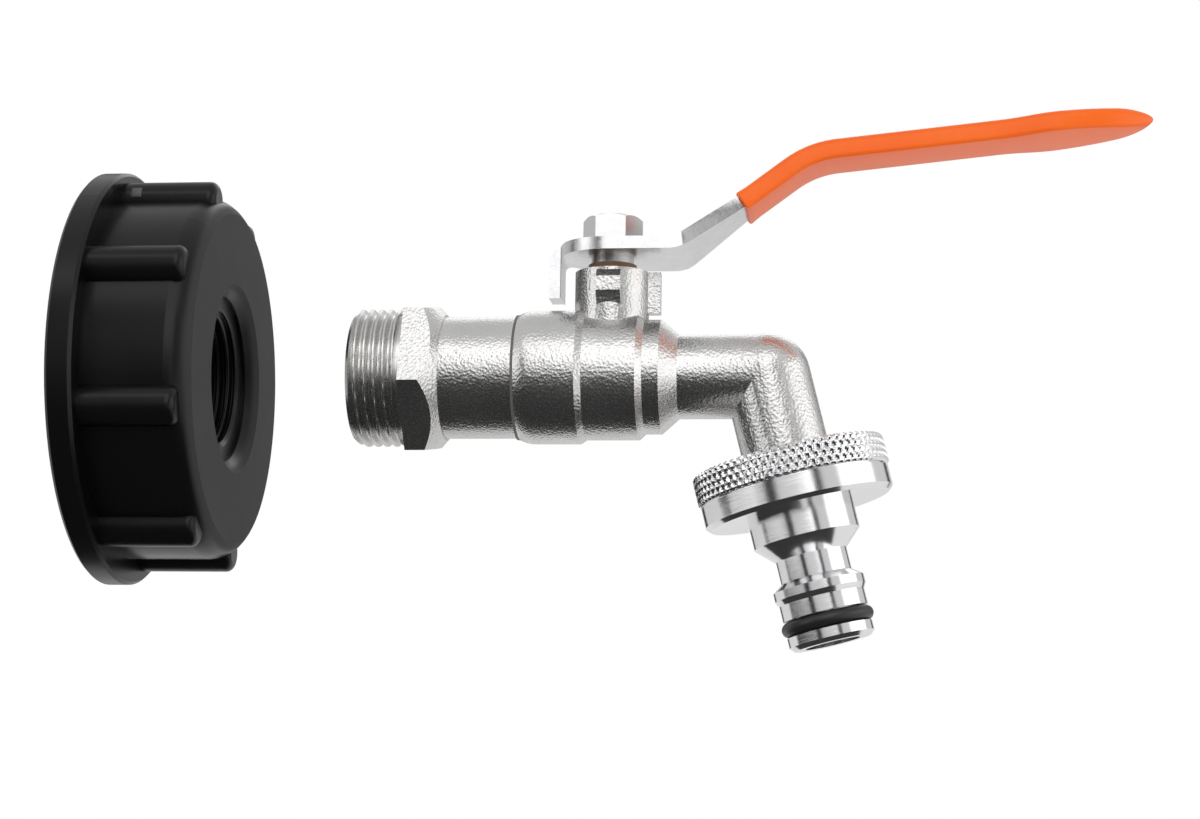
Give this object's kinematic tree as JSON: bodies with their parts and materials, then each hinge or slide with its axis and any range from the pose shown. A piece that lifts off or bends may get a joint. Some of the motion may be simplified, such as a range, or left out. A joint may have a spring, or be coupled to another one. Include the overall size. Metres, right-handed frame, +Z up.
{
  "type": "ibc tank valve",
  "caption": "Lever ball tap with a male threaded inlet, an elbow spout, a quick-connect hose adapter and a ribbed screw cap for a bulk container outlet.",
  "frame": {"origin": "centre of the inlet thread's end face, where the flow enters", "axes": "+X along the flow through the ball to the elbow, +Z up the stem towards the lever, +Y to the left of the flow; the cap stands on the -X side"},
  "size_m": [0.2011, 0.08, 0.1034],
  "materials": {
    "nickel_plate": "nickel plated, machined",
    "nickel_cast": "nickel plated over a fine cast skin",
    "seal_ring": "matt",
    "white_seat": "waxy",
    "amber_ring": "matt",
    "chrome_ball": "polished",
    "plated_stem": "machined",
    "black_rubber": "smooth",
    "lever_steel": "bright plated",
    "orange_vinyl": "dipped, glossy",
    "nut_steel": "bright plated",
    "turned_metal": "turned, bright",
    "black_plastic": "satin, moulded"
  },
  "bodies": {
    "valve": {"inlet_end": "nickel_plate", "valve_body": "nickel_cast", "body_seal": "seal_ring", "inlet_seat": "white_seat", "outlet_seat": "white_seat", "dust_ring": "amber_ring"},
    "lever": {"ball": "chrome_ball", "stem": "plated_stem", "stem_thrust_washer": "white_seat", "stem_o_ring_lower": "black_rubber", "stem_o_ring_upper": "black_rubber", "lever": "lever_steel", "lever_grip": "orange_vinyl", "lever_nut": "nut_steel"},
    "cap_seal": {"cap_seal": "black_rubber"},
    "cap": {"cap_shell": "black_plastic"},
    "adapter_washer": {"adapter_washer": "black_rubber"},
    "adapter": {"hose_adapter": "turned_metal", "adapter_o_ring": "black_rubber"}
  },
  "joints": [
    {"name": "lever_turn", "type": "hinge", "parent": "valve", "child": "lever", "pos_m": [0.0492, 0, 0], "axis": [0, 0, -1], "range_deg": [0, 90]},
    {"name": "cap_travel", "type": "slide", "parent": "valve", "child": "cap_seal", "axis": [1, 0, 0], "range_m": [0, 0.0372]},
    {"name": "cap_turn", "type": "hinge", "parent": "cap_seal", "child": "cap", "pos_m": [0, 0, 0], "axis": [1, 0, 0], "range_deg": [0, 7382.5]},
    {"name": "adapter_travel", "type": "slide", "parent": "valve", "child": "adapter_washer", "axis": [0.2402, 0, -0.9707], "range_m": [0, 0.00808]},
    {"name": "adapter_turn", "type": "hinge", "parent": "adapter_washer", "child": "adapter", "pos_m": [0.0789, 0, 0], "axis": [0.2402, 0, -0.9707], "range_deg": [0, 1259.7]}
  ],
  "couplings": [
    {"joint": "cap_travel", "follows": "cap_turn", "m_per_rad": 0.00028871},
    {"joint": "adapter_travel", "follows": "adapter_turn", "m_per_rad": 0.00036749}
  ]
}
